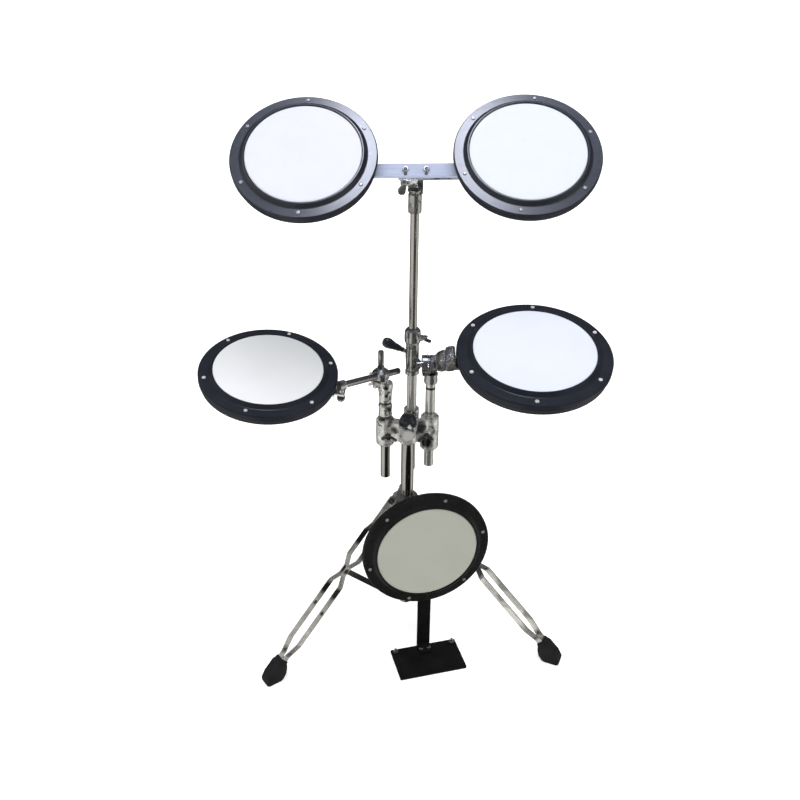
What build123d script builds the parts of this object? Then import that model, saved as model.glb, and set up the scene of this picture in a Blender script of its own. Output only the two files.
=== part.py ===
from build123d import *
import math
import os

# Five-piece practice-pad set on a double-braced tripod stand.  Millimetres, +Z up.
# The player sits on the -Y side.  The stand tube runs up from the floor plane Z = 0.
os.makedirs("parts", exist_ok=True)

# ---------------------------------------------------------------- driving dimensions
SHIFT = (27.971, -7.307, 0.0)  # from the stand tube to the middle of the footprint
HEAD_R = 99.7                # visible radius of an 8-inch playing surface
RIM_R = 126.5                # outer radius of the clamping rim
PAD_T = 30.0                 # depth of a pad, head surface to back
SCREW_PCR = 116.0            # pitch radius of the six rim screws

BASE_R = 12.7                # 1 inch stand tube
BASE_Z0, BASE_Z1 = 50.0, 498.0
PIV_R = 34.0                 # radius of the collar pivots
STRUT_Z = 79.0               # height of the strut pivots
LINK = 166.9                 # strut length, and leg length above the strut pivot
OPEN_DEG = 45.0              # legs from vertical, set up
LEG_AZ = {"left": -54.0, "right": 67.0, "rear": 186.5}
LEG_L = 385.0                # collar pivot to the end of the strips in the foot

ARM_R = 9.525                # 3/4 inch arm tubes and column tube
UP_R = 7.94                  # 5/8 inch upper tube
COL = (7.0, 57.0)            # column axis
LARM = (-44.5, 14.0)          # left arm axis
RARM = (42.5, 16.0)          # right arm axis
HUB_Z0, HUB_Z1 = 447.0, 493.0
RUN = 0.05                   # radial running clearance

TOP_O = (6.0, 8.0, 1007.6)   # middle of the two upper heads
TOP_TILT, TOP_ROLL = 39.5, 1.2
TOP_DX = 190.2
ML_C, ML_TILT, ML_AZ = (-255.0, -61.0, 633.0), 14.0, 20.5
MR_C, MR_TILT, MR_AZ = (200.0, -213.0, 745.0), 16.0, 1.0
BP_C, BP_AZ = (40.5, -122.6, 269.0), 14.0
TILT_H = (7.0, 57.0, 943.0)  # hinge of the upper bar

C3 = (Align.CENTER, Align.CENTER, Align.MIN)


# ---------------------------------------------------------------- helpers
def vec(*a):
    return Vector(*a)


def normal(tilt, az):
    t, a = math.radians(tilt), math.radians(az)
    return vec(math.sin(t) * math.sin(a), -math.sin(t) * math.cos(a), math.cos(t))


def plane(o, z, x=None):
    z = vec(*z) if isinstance(z, tuple) else z
    if x is None:
        return Plane(origin=o, z_dir=z)
    x = vec(*x) if isinstance(x, tuple) else x
    x = x - z.normalized() * x.dot(z.normalized())
    return Plane(origin=o, x_dir=x, z_dir=z)


def rod(p, q, r):
    p, q = vec(*p) if isinstance(p, tuple) else p, vec(*q) if isinstance(q, tuple) else q
    return plane(p, q - p) * Cylinder(r, (q - p).length, align=C3)


def tube(p, q, r, ri):
    p, q = vec(*p) if isinstance(p, tuple) else p, vec(*q) if isinstance(q, tuple) else q
    d = (q - p).normalized()
    return rod(p, q, r) - rod(p - d, q + d, ri)


def lathe(pts, pl=Plane.XY):
    face = Plane.XZ * Polygon(*pts, align=None)
    return pl * revolve(face, axis=Axis.Z)


def slab(pl, pts, t0, t1):
    """Polygon in the plane pl, extruded from height t0 to t1 along its normal."""
    solid = extrude(Polygon(*pts, align=None), amount=t1 - t0, dir=(0, 0, 1))
    return pl * (Pos(0, 0, t0) * solid)


def block(pl, x, y, z):
    """Box between (x0, x1), (y0, y1), (z0, z1) in the plane's own axes."""
    b = Box(x[1] - x[0], y[1] - y[0], z[1] - z[0], align=(Align.MIN,) * 3)
    return pl * (Pos(x[0], y[0], z[0]) * b)


def soft(obj, r, pick=None):
    """Rounds edges where the kernel allows it, else leaves them."""
    try:
        e = pick(obj) if pick else obj.edges()
        out = fillet(e, r)
        if out.is_valid and len(out.solids()) == len(obj.solids()) and out.volume > 0.5 * obj.volume:
            return out
    except Exception:
        pass
    return obj


PARTS = {}


def save(name, *objs):
    solids = [Pos(*SHIFT) * s for o in objs for s in o.solids()]
    PARTS[name] = solids
    shape = solids[0] if len(solids) == 1 else Compound(children=solids)
    export_step(shape, f"parts/{name}.step")


# ---------------------------------------------------------------- pads
def pad(pl, roll, name, screws_out, bevel=(4.1, 4.0)):
    """A pad whose head surface is the plane pl, screws starting roll degrees from +Y.
    bevel is the width and height of the slope round the back of the shell."""
    rim = lathe([(100, -4), (100, 0.4), (101.2, 1.2), (103, 1.0), (108.2, -4.6), (110, -5.2),
                 (124.5, -6.2), (RIM_R, -8.4), (RIM_R, -16), (123.8, -16), (123.8, -10),
                 (104, -10), (104, -4)])
    shell = lathe([(0, -PAD_T), (123.6 - bevel[0], -PAD_T), (123.6, -PAD_T + bevel[1]), (123.6, -10.0),
                   (104, -10.0), (104, -22), (0, -22)])
    head = lathe([(0, -22), (103.4, -22), (103.4, -4.1), (HEAD_R, -4.1), (HEAD_R, -0.5),
                  (HEAD_R - 0.5, 0), (0, 0)])
    bolts = []
    for k in range(6):
        a = math.radians(90 + roll + 60 * k)
        at = Pos(SCREW_PCR * math.cos(a), SCREW_PCR * math.sin(a), 0)
        rim -= at * Pos(0, 0, -5.9) * Cylinder(3.6, 6, align=C3)
        rim -= at * Pos(0, 0, -17) * Cylinder(1.75, 14, align=C3)
        shell -= at * Pos(0, 0, -22) * Cylinder(1.65, 13, align=C3)
        head_s = lathe([(0, -21.5), (1.6, -21.5), (1.6, -5.9), (3.3, -5.9), (3.3, -4.6),
                        (2.2, -3.7), (0, -3.6)])
        cross = Pos(0, 0, -4.6) * (Box(3.0, 0.7, 2.0, align=C3) + Box(0.7, 3.0, 2.0, align=C3))
        bolts.append(pl * (at * (Rot(0, 0, 17 * k) * (head_s - cross))))
    save(name + "_rim", pl * rim)
    save(name + "_head", pl * head)
    screws_out += bolts
    return pl * shell


# ---------------------------------------------------------------- wing bolts and levers
def wing(pl, span=17.0, shank_r=3.0, shank_l=8.0, boss_r=5.2, boss_h=10.0, eh=1.0, ear=None,
         half=2.1):
    """Wing bolt: its shank goes down the plane's -Z, its wings spread along its X."""
    body = lathe([(0, -shank_l), (shank_r, -shank_l), (shank_r, 0), (boss_r + 1.2, 0),
                  (boss_r + 1.2, 1.6), (boss_r, 2.6), (boss_r - 0.8, boss_h), (0, boss_h)])
    ear = ear or [(2.5, 2.4), (boss_r + 2, 2.6), (span * 0.72, 6.5), (span, 13.0), (span * 0.93, 17.0),
           (span * 0.74, 18.0), (span * 0.52, 13.5), (boss_r, 9.0), (2.5, 8.6)]
    for s in (1, -1):
        pts = [(s * x, y * eh) for x, y in ear]
        e = extrude(Plane.XZ * Polygon(*pts, align=None), amount=half, both=True)
        e = soft(e, 0.8)
        body += e
    return pl * body


# ---------------------------------------------------------------- stand tube and tripod
def radial(az):
    a = math.radians(az)
    return vec(math.sin(a), -math.cos(a), 0), vec(math.cos(a), math.sin(a), 0)


ZV = vec(0, 0, 1)
base = tube((0, 0, BASE_Z0), (0, 0, BASE_Z1), BASE_R, BASE_R - 1.8)

lower = tube((0, 0, 62), (0, 0, 95), 19.5, BASE_R)
upper_z = STRUT_Z + 2 * LINK * math.cos(math.radians(OPEN_DEG))
upper = tube((0, 0, upper_z - 22), (0, 0, upper_z + 5), 20.0, BASE_R + RUN)
upper += tube((0, 0, upper_z - 22), (0, 0, upper_z - 18), 21.5, BASE_R + RUN)
upper += tube((0, 0, upper_z + 1), (0, 0, upper_z + 5), 21.5, BASE_R + RUN)
for name, az in LEG_AZ.items():
    r, t = radial(az)
    pl = plane(ZV * STRUT_Z, t, r)            # x outward, z tangential, y = z cross x
    yz = pl.y_dir.Z
    for s in (1, -1):
        cheek = block(pl, (17.5, PIV_R), (-6, 6), (3.2, 6.2)) if s > 0 else \
            block(pl, (17.5, PIV_R), (-6, 6), (-6.2, -3.2))
        end = pl * (Pos(PIV_R, 0, 3.2 if s > 0 else -6.2) * Cylinder(6, 3.0, align=C3))
        lower += cheek + end
    pin = pl * (Pos(PIV_R, 0, -7.6) * Cylinder(2.5, 15.2, align=C3))
    lower += pin
    pu = plane(ZV * upper_z, t, r)
    upper += block(pu, (18.0, PIV_R), (-6, 6), (-8, 8)) + pu * (
        Pos(PIV_R, 0, -8) * Cylinder(6, 16, align=C3))

cut = rod((0, 0, upper_z - 30), (0, 0, upper_z + 20), BASE_R + RUN)
upper -= cut
# clamp boss and wing bolt of the sliding collar
UC_AZ = 6.5
ur, ut = radial(UC_AZ)
UCB = ZV * (upper_z - 9)
boss0 = UCB + ur * 14
upper += rod(boss0, UCB + ur * 27, 7.0)
upper -= rod(UCB, UCB + ur * 30, 3.3)
upper -= cut
wing_uc = wing(plane(UCB + ur * 27.1, ur, (0, 0, 1)), span=15, shank_l=13.5)


def strip(pl, path, w0, w1, t=2.0):
    """Flat steel strip following path (s, offset), t thick, from w0 to w1 across."""
    half = t / 2
    left = [(s, o + half) for s, o in path]
    right = [(s, o - half) for s, o in reversed(path)]
    return slab(pl, left + right, w0, w1)


for name, az in LEG_AZ.items():
    r, t = radial(az)
    th = math.radians(OPEN_DEG)
    s0 = r * PIV_R + ZV * STRUT_Z
    up = (r * math.sin(th) + ZV * math.cos(th))
    p = s0 + up * LINK
    top = r * PIV_R + ZV * upper_z
    dn = (r * math.sin(th) - ZV * math.cos(th))
    # leg: x down along the leg, y tangential, z across the strips in the upright plane
    pl = Plane(origin=top, x_dir=dn, z_dir=dn.cross(t))
    full = LEG_L
    leg = None
    for s in (1, -1):
        path = [(-8, s * 9.5), (58, s * 9.5), (78, s * 16.5), (LINK - 30, s * 16.5),
                (LINK - 9, s * 4.3), (LINK + 9, s * 4.3), (LINK + 32, s * 16.5),
                (full - 46, s * 16.5), (full - 14, s * 8.0), (full + 14, s * 8.0)]
        st = strip(pl, path, -6.5, 6.5)
        leg = st if leg is None else leg + st
    # pivot rivet through the pinch, the spacer at the foot, rivet heads at the collar
    leg += pl * (Pos(LINK, -6.6, 0) * Rot(-90, 0, 0) * Cylinder(2.6, 13.2, align=C3))
    leg += block(pl, (full - 6, full + 14), (-8.8, 8.8), (-6.5, 6.5))
    for s in (1, -1):
        y0 = 10.3 if s > 0 else -12.6
        leg += pl * (Pos(0, y0, 0) * Rot(-90, 0, 0) * Cylinder(3.6, 2.3, align=C3))
        for sx in (LINK + 92,):
            y1 = 17.3 if s > 0 else -18.5
            leg += pl * (Pos(sx, y1, 0) * Rot(-90, 0, 0) * Cylinder(2.2, 1.4, align=C3))
    save("leg_" + name, leg)

    # strut: one bar with rounded ends between the collar cheeks and the leg strips
    ps = Plane(origin=s0, x_dir=up, z_dir=t)
    bar = block(ps, (0, LINK), (-5.2, 5.2), (-2.9, 2.9))
    bar += ps * (Pos(0, 0, -2.9) * Cylinder(5.2, 5.8, align=C3))
    bar += ps * (Pos(LINK, 0, -2.9) * Cylinder(5.2, 5.8, align=C3))
    bar -= ps * (Pos(0, 0, -4) * Cylinder(2.55, 8, align=C3))
    bar -= ps * (Pos(LINK, 0, -4) * Cylinder(2.65, 8, align=C3))
    for s in (1, -1):
        z0 = 2.0 if s > 0 else -3.0
        bar -= block(ps, (22, LINK - 22), (-2.4, 2.4), (z0, z0 + 1.0))
    save("strut_" + name, bar)

    # rubber foot: outline in the upright plane through the leg, rounded across
    pf = Plane(origin=vec(0, 0, 0), x_dir=r, z_dir=r.cross(ZV))
    out = [(300, 34), (309, 47), (319, 46), (338, 27), (348, 11), (346.5, 2.5), (343, 0),
           (317, 0), (311, 2), (303, 14)]
    foot = slab(pf, out, -12.5, 12.5)
    foot = soft(foot, 2.6, lambda o: o.edges().filter_by(lambda e: abs(e.length - 25) > 1
                                                         and e.center().Z > 1.5))
    foot -= block(pl, (full - 40, full + 14), (-9.1, 9.1), (-6.6, 6.6))
    save("foot_" + name, foot)

save("base_tube", base)
save("lower_collar", lower)
save("upper_collar", upper)
save("upper_collar_wing_bolt", wing_uc)

# ---------------------------------------------------------------- hub casting
hub = None
LS, RS, CS = (434, 491), (425, 497), (437, 466)


def sleeve(c, z, r):
    return lathe([(0, z[0]), (r - 2.5, z[0]), (r - 0.5, z[0] + 3), (r, (z[0] + z[1]) / 2),
                  (r - 0.5, z[1] - 3), (r - 2.5, z[1]), (0, z[1])],
                 Plane(origin=(c[0], c[1], 0)))


def web(p, q, w, z0, z1):
    d = vec(q[0] - p[0], q[1] - p[1], 0)
    return block(Plane(origin=(p[0], p[1], 0), x_dir=d, z_dir=ZV), (0, d.length), (-w, w), (z0, z1))


hub_parts = [
    lathe([(0, HUB_Z0), (17, HUB_Z0), (19.5, HUB_Z0 + 3), (19.5, HUB_Z1 - 4), (16, HUB_Z1),
           (16, HUB_Z1 + 4), (12, HUB_Z1 + 11), (0, HUB_Z1 + 13.5)]),
    sleeve(LARM, LS, 18.5), sleeve(RARM, RS, 18.5), sleeve(COL, CS, 17.0),
    web((0, 0), LARM, 11, HUB_Z0 + 1, HUB_Z1 - 6), web((0, 0), RARM, 11, HUB_Z0 + 1, HUB_Z1 - 6),
    web((0, 0), COL, 11, 440, 464),
]
for h in hub_parts:
    hub = h if hub is None else hub + h
# front web: a tapered shield on the middle boss
shield = extrude(Plane.XZ * Polygon((-17, 490), (15, 488), (14, 472), (6, 449), (-6, 449),
                                    (-17, 464), align=None), amount=21.5, dir=(0, -1, 0))
hub += soft(shield, 1.5)
hub -= rod((0, 0, 430), (0, 0, BASE_Z1), BASE_R)
for c in (LARM, RARM):
    hub -= rod((c[0], c[1], 425), (c[0], c[1], 510), ARM_R + RUN)
hub -= rod((COL[0], COL[1], 425), (COL[0], COL[1], 480), ARM_R + RUN)
# threaded bosses of the two arm clamps, on the front of the sleeves
HW = {"left": ((LARM[0], LARM[1], 464.0), 12.0), "right": ((RARM[0], RARM[1], 464.0), -14.0)}
for side, (c, az) in HW.items():
    r, t = radial(az)
    hub += rod(vec(*c) + r * 14, vec(*c) + r * 25, 6.8)
    hub -= rod(vec(*c), vec(*c) + r * 30, 3.3)
    hub -= rod((c[0], c[1], 425), (c[0], c[1], 510), ARM_R + RUN)
    save("hub_wing_bolt_" + side,
         wing(plane(vec(*c) + r * 25.1, r, (1, 0, -0.25) if side == "left" else (1, 0, 0.45)),
              span=16, shank_l=13.5))
save("hub_casting", hub)

# ---------------------------------------------------------------- rear column
cx, cy = COL
column = tube((cx, cy, 350), (cx, cy, 652), ARM_R, UP_R + RUN)
# open slot in the foot of the tube: one strip of the rear leg passes here as it folds
SLOT_AT, SLOT_W, SLOT_TOP = -3.1, 5.6, 388.0
column -= block(Plane.XY, (cx + SLOT_AT - SLOT_W / 2, cx + SLOT_AT + SLOT_W / 2),
                (cy - 20, cy + 2.5), (345, SLOT_TOP))
save("column_tube", column)
lock = tube((cx, cy, 466.2), (cx, cy, 490), 15.0, ARM_R)
lock += block(plane((cx, cy, 478), (0, 0, 1), (1, 0, 0)), (-7, 7), (-21, -12), (-9, 9))
lock -= block(plane((cx, cy, 478), (0, 0, 1), (1, 0, 0)), (-1, 1), (-22, -9), (-12, 12))
lock += rod((cx - 12, cy - 17, 478), (cx + 11, cy - 17, 478), 3.0)
lock -= rod((cx, cy, 460), (cx, cy, 500), ARM_R)
save("column_lock", lock)

# height clamp: long sleeve on the column, split head above, lever ear on the left
clamp = tube((cx, cy, 570), (cx, cy, 638), 12.6, ARM_R)
clamp += lathe([(0, 633), (13.5, 633), (15.5, 637), (16, 647), (15, 659), (12, 663), (0, 663)],
               Plane(origin=(cx, cy, 0)))
clamp += lathe([(0, 568), (13.6, 568), (13.6, 575), (12.6, 577), (0, 577)],
               Plane(origin=(cx, cy, 0)))
EAR = vec(cx - 5, cy + 14, 600)
clamp += block(Plane.XY, (cx - 13, cx + 3), (cy, cy + 19), (591, 600)) + \
    rod(EAR - vec(0, 6, 0), EAR + vec(0, 5, 0), 8.5)
wr = vec(0.90, -0.43, 0).normalized()
wc = vec(cx, cy, 647)
clamp += rod(wc + wr * 12, wc + wr * 20, 6.0)
clamp -= rod(wc, wc + wr * 30, 3.05)
clamp -= rod(EAR - vec(0, 0.5, 0), EAR + vec(0, 20, 0), 3.3)
clamp -= rod((cx, cy, 560), (cx, cy, 680), UP_R + RUN)
clamp -= rod((cx, cy, 560), (cx, cy, 652.2), ARM_R)
save("height_clamp", clamp)
save("height_wing_bolt", wing(plane(wc + wr * 20.1, wr, (0.43, 0.9, -0.9)), span=14.5,
                              shank_r=3.0, shank_l=8.6, boss_r=4.4, boss_h=7.5, eh=0.78, half=2.7,
                              ear=[(2.5, 2.4), (6.4, 2.6), (11, 5), (14.5, 11), (14.5, 18),
                                   (11, 19.5), (7, 14), (4.4, 9), (2.5, 8.6)]))
# clamping lever with a rounded black grip, turning on the ear's bolt
ld = vec(-0.90, 0, 0.436).normalized()
lo = EAR + vec(0, 11, 0)
lever = rod(EAR, EAR + vec(0, 7, 0), 3.2) + rod(EAR + vec(0, 5.3, 0), EAR + vec(0, 16, 0), 7.0)
lever += rod(lo, lo + ld * 26, 4.0)
grip = lathe([(0, 14), (4.8, 14), (5.4, 20), (7.4, 34), (9.9, 43), (10.4, 48), (9.4, 53),
              (6.4, 57), (2.6, 58.8), (0, 59)], plane(lo, ld))
save("column_lever", lever + grip)

upper_t = tube((cx, cy, 500), (cx, cy, 922), UP_R, UP_R - 1.5)
save("upper_tube", upper_t)

# ---------------------------------------------------------------- upper tilter and bar
n = normal(TOP_TILT, 0)
xd = vec(math.cos(math.radians(TOP_ROLL)), 0, math.sin(math.radians(TOP_ROLL)))
TOP = plane(TOP_O, n - xd * n.dot(xd), xd)
hx = xd
hz = vec(*TILT_H)
tb = lathe([(0, 889), (11.6, 889), (12.2, 891), (12.2, 922), (11.0, 925), (13.2, 928.5),
            (13.2, 930.6), (0, 930.6)], Plane(origin=(cx, cy, 0)))
tb += rod(hz + hx * 4.0, hz + hx * 14.0, 11.5)
tb += block(Plane(origin=(cx, cy, 0)), (4.2, 13.8), (-9, 9), (925, TILT_H[2]))
tb -= rod((cx, cy, 880), (cx, cy, 922), UP_R)
tb -= rod(hz - hx * 20, hz + hx * 20, 3.3)
save("tilter_base", tb)

# moving half of the tilter: a disc beside the base's, a neck and the plate under the bar
BAR_Y, BAR_W, BAR_T0, BAR_T1 = -14.5, 27.0, -36.0, -30.0
hl = TOP.to_local_coords(hz)
th_ = rod(hz - hx * 13.0, hz + hx * 3.7, 11.0)
neck = block(TOP, (hl.X - 12.5, hl.X + 3.4), (hl.Y - 10, hl.Y + 5), (hl.Z, BAR_T0 - 4))
clear = rod(hz + hx * 3.7, hz + hx * 20, 13.5)
th_ += neck - clear
th_ += block(TOP, (-30, 64), (BAR_Y - 14.5, BAR_Y + 14.5), (BAR_T0 - 4, BAR_T0))
th_ += block(TOP, (64, 84), (BAR_Y - 14.5, BAR_Y + 14.5), (BAR_T0 - 4, BAR_T0))
th_ -= rod(hz - hx * 20, hz + hx * 6, 3.3)
BOLT_X = (-17.5, 18.0)
for bx in BOLT_X:
    th_ -= TOP * (Pos(bx, BAR_Y, BAR_T0 - 10) * Cylinder(3.2, 20, align=C3))
save("tilter_head", th_)

TILT_EAR = [(2.5, 2.4), (7.2, 2.4), (19, 4.2), (23, 6.5), (23.5, 13), (21, 17), (14, 18), (8, 13),
            (5, 9), (2.5, 8.6)]
tw = wing(plane(hz - hx * 13.3, hx * -1, (0, -0.25, 1)), shank_r=3.0, shank_l=25.5, boss_h=13,
          ear=TILT_EAR, half=2.8)
save("tilter_wing_bolt", tw)

bar = block(TOP, (-226, 232), (BAR_Y - BAR_W / 2, BAR_Y + BAR_W / 2), (BAR_T0, BAR_T1))
bar = soft(bar, 0.8)
bolts = []
for bx in BOLT_X:
    bar -= TOP * (Pos(bx, BAR_Y, BAR_T0 - 10) * Cylinder(3.2, 20, align=C3))
    b = lathe([(0, -46.5), (3.0, -46.5), (3.0, BAR_T1), (5.6, BAR_T1), (5.6, -26.4), (4.6, -25.4),
               (0, -25.0)])
    nut = Pos(0, 0, -45.0) * extrude(RegularPolygon(5.2, 6), amount=4.8)
    bolts.append(TOP * (Pos(bx, BAR_Y, 0) * (b + nut)))
top_screws = []
for side, sx, roll in (("top_left", -TOP_DX, -2), ("top_right", TOP_DX, -9)):
    pl = Plane(TOP.from_local_coords(vec(sx, 0, 0)), x_dir=TOP.x_dir, z_dir=TOP.z_dir)
    shell = pad(pl, roll, side, top_screws)
    for q in (-20, 20):
        hole = pl * (Pos(q, BAR_Y, -42) * Cylinder(2.6, 17, align=C3))
        shell -= hole
        bar -= hole
        bolts.append(pl * (Pos(q, BAR_Y, 0) * lathe([(0, -39.5), (5, -39.5), (5, BAR_T0),
                                                     (2.5, BAR_T0), (2.5, -25.5), (0, -25.5)])))
    save(side + "_shell", shell)
save("top_bar", bar)
save("top_screws", *bolts, *top_screws)

# ---------------------------------------------------------------- left arm and pad
lx, ly = LARM
save("left_arm_tube", tube((lx, ly, 358), (lx, ly, 553), ARM_R, ARM_R - 1.6))
LH = vec(lx - 8.5, ly, 583.5)                     # centre of the rod clamp
ROD_R = 6.3                                   # 12.6 mm rod
ls = lathe([(0, 496), (13.0, 496), (13.6, 500), (12.4, 507), (13.4, 517), (13.8, 520),
            (12.0, 524), (12.8, 545), (15.0, 561), (14, 568), (0, 568)],
           Plane(origin=(lx, ly, 0)))
ls -= rod((lx, ly, 490), (lx, ly, 553), ARM_R)
MLP = plane(ML_C, normal(ML_TILT, ML_AZ), (1, 0, 0))
sa = math.radians(-7)                        # where the socket sits round the pad
ROD_END = MLP.from_local_coords(vec(134.0 * math.cos(sa), 134.0 * math.sin(sa), -15.0))
rodd = (ROD_END - LH).normalized()            # the rod's direction, towards the pad
side = ZV.cross(rodd).normalized()                      # horizontal, across the rod
ls += block(plane(LH - ZV * 28, ZV, side), (-13.0, -6.4), (-9, 9), (0, 16)) + \
    block(plane(LH - ZV * 28, ZV, side), (6.4, 13.0), (-9, 9), (0, 16))
LP = LH - ZV * 17                             # tilt pivot of the rod clamp
ls += rod(LP + side * 6.4, LP + side * 13.0, 10) + rod(LP - side * 13.0, LP - side * 6.4, 10)
ls -= rod(LP - side * 6.3, LP + side * 6.3, 11.5)
ls -= rod(LP - side * 20, LP + side * 20, 3.3)
save("left_arm_clamp", ls)

lh = rod(LP - side * 6.0, LP + side * 6.0, 10)
lh += lathe([(0, -9), (9, -9), (15.5, -5), (17.5, 2), (16.5, 8), (11, 13), (7, 15), (5.2, 17),
             (0, 17)], plane(LH, ZV, side)) - (rod(LP - side * 30, LP - side * 6.0, 12.0) +
                                              rod(LP + side * 6.0, LP + side * 30, 12.0))
lh -= rod(LH - rodd * 40, LH + rodd * 40, ROD_R + 0.1)
lh -= rod(LP - side * 20, LP + side * 20, 3.1)
lh += lathe([(0, 7.2), (4.0, 7.2), (4.0, 17.2), (6.4, 17.2), (6.6, 19), (5.2, 21), (5.6, 23), (5.6, 48),
             (5.0, 51), (0, 51.5)], plane(LH, ZV, side))
save("left_rod_clamp", lh)
save("left_tilt_wing_bolt", wing(plane(LP - side * 13.3, side * -1, (0.2, 0, 1)), span=14,
                                 shank_r=3.0, shank_l=26.5))

rod_in = LH - rodd * 52
rod_out = ROD_END
screws = []
shell = pad(MLP, -13, "left", screws)
# side bracket: a foot under the pad's edge, a socket round the rod outside the rim and a
# short post between them
q = MLP.to_local_coords(rod_out)
qa = math.atan2(q.Y, q.X)
BRL = Plane(MLP.from_local_coords(vec(0, 0, 0)), z_dir=MLP.z_dir,
            x_dir=MLP.x_dir * math.cos(qa) + MLP.y_dir * math.sin(qa))
lb = block(BRL, (84, 124), (-13, 13), (-PAD_T - 4, -PAD_T)) + \
    block(BRL, (120, 142), (-8, 8), (-PAD_T - 4, -PAD_T))
lb += rod(rod_out - rodd * 8.0, rod_out + rodd * 9.0, 9.2) - \
    BRL * (Pos(0, 0, -60) * Cylinder(127.2, 80, align=C3))
lb += BRL * (Pos(135.5, 0, -PAD_T) * Cylinder(5.6, 12.0, align=C3))
lrod = rod(rod_in, rod_out, ROD_R)
lb -= rod(LH, rod_out + rodd * 0.2, ROD_R)
for sx in (92, 112):
    for sy in (-9.5, 9.5):
        hole = BRL * (Pos(sx, sy, -PAD_T - 10) * Cylinder(2.1, 15.5, align=C3))
        lb -= hole
        shell -= hole
        screws.append(BRL * (Pos(sx, sy, -PAD_T) * lathe([(0, -6.6), (4, -6.6), (4, -4), (2.0, -4),
                                                         (2.0, 5), (0, 5)])))
# thumb screw that locks the rod in the block
lb -= BRL * (Pos(135.5, 0, -PAD_T - 5) * Cylinder(2.6, 13.6, align=C3))
screws.append(BRL * (Pos(135.5, 0, 0) * lathe([(0, -22.8), (2.55, -22.8), (2.55, -34), (5.0, -34),
                                              (5.0, -38.5), (6.4, -39.5), (6.8, -46), (5.6, -48.5),
                                              (0, -49)])))
save("left_shell", shell)
save("left_bracket", lb)
save("left_rod", lrod)
save("left_screws", *screws)

# ---------------------------------------------------------------- right arm and pad
rx, ry = RARM
save("right_arm_tube", tube((rx, ry, 385), (rx, ry, 583), ARM_R, ARM_R - 1.6))
MRP = plane(MR_C, normal(MR_TILT, MR_AZ), (1, 0, 0))
RH = vec(rx - 4, ry, 607.5)                   # tilter axis centre
# the rod runs forward and up to the pad's left edge, under its back
tgt = MRP.from_local_coords(vec(-146, 0, -20))
rd = (tgt - RH).normalized()
hor = vec(rd.X, rd.Y, 0).normalized()
ra = hor.cross(ZV).normalized()               # tilter axis, horizontal, points left
rh = lathe([(0, 569), (12.6, 569), (13.2, 572), (12.6, 581), (13.5, 588.4), (0, 588.4)],
           Plane(origin=(rx, ry, 0)))
rh += rod(RH + ra * 1.0, RH + ra * 13, 17.5)
rh += block(plane(RH, ZV, ra), (1.0, 13.0), (-11, 11), (-20, -2))
rh -= rod((rx, ry, 560), (rx, ry, 583), ARM_R)
rh -= rod(RH - ra * 30, RH + ra * 30, 3.3)
save("right_tilter_base", rh)

rt = rod(RH - ra * 13, RH + ra * 0.7, 17.5)
AR = Plane(origin=RH, x_dir=rd, z_dir=ra)     # x along the arm, z along the tilter axis
arm = slab(AR, [(0, -16), (0, 16), (40, 15), (78, 13), (78, -13), (40, -14)], -13, 0.7)
rt += soft(arm, 1.5)
ROD0 = RH + rd * 60 - ra * 6.2
ROD1 = RH + rd * ((tgt - RH).length + 10) - ra * 6.2
rt += rod(ROD0, RH + rd * 96 - ra * 6.2, 12.0)
rt -= rod(RH + rd * 50 - ra * 6.2, RH + rd * 110 - ra * 6.2, 6.1)
rt -= rod(RH - ra * 30, RH + ra * 30, 3.3)
save("right_tilter_arm", rt)
save("right_tilt_wing_bolt", wing(plane(RH + ra * 13.3, ra, (0, 0, 1)), span=16, shank_r=3.0,
                                  shank_l=26))

screws = []
shell = pad(MRP, -4, "right", screws)
rrod = rod(RH + rd * 52 - ra * 6.2, ROD1, 6.0)
g = MRP.to_local_coords(tgt)
qa = math.atan2(g.Y, g.X)
BRR = Plane(MRP.from_local_coords(vec(0, 0, 0)), z_dir=MRP.z_dir,
            x_dir=MRP.x_dir * math.cos(qa) + MRP.y_dir * math.sin(qa))
save("right_arm_rod", rrod)
rb = block(BRR, (84, 136), (-15, 15), (-PAD_T - 4, -PAD_T))
YR = Plane(BRR.origin, x_dir=BRR.x_dir, z_dir=BRR.x_dir.cross(BRR.z_dir))    # x out, y up
rb1 = slab(YR, [(127.4, -34), (127.4, -10.5), (131, -8.2), (138, -9.5), (143, -12), (143, -36),
                (138, -37), (130, -35.5)], -17, 17)
rb2 = slab(YR, [(142, -38.5), (142, -13), (148, -14.5), (155, -18.5), (158.5, -24), (158.5, -33),
                (155, -39.5), (148, -41)], -14, 14)
rb += soft(rb1, 2.2) + soft(rb2, 3.0)
rb -= rod(RH + rd * 120 - ra * 6.2, ROD1 + rd * 0.2, 6.0)
for sx in (92, 112):
    for sy in (-10, 10):
        hole = BRR * (Pos(sx, sy, -PAD_T - 10) * Cylinder(2.1, 15.5, align=C3))
        rb -= hole
        shell -= hole
        screws.append(BRR * (Pos(sx, sy, -PAD_T) * lathe([(0, -6.6), (4, -6.6), (4, -4), (2.0, -4),
                                                         (2.0, 5), (0, 5)])))
save("right_shell", shell)
save("right_bracket", rb)
save("right_screws", *screws)

# ---------------------------------------------------------------- bass pad, post and plate
bn = normal(90, BP_AZ)
BPP = plane(BP_C, bn, (1, 0, 0))
bx_ = vec(math.cos(math.radians(BP_AZ)), math.sin(math.radians(BP_AZ)), 0)
screws = []
# wider bevel than on the other pads, so the right leg passes behind it as it folds
shell = pad(BPP, -17, "bass", screws, bevel=(12.6, 9.5))
back = vec(*BP_C) - bn * PAD_T
PB = Plane(origin=(back.X, back.Y, 0), x_dir=bx_, z_dir=bn)   # x right, y up, z to player
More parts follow.
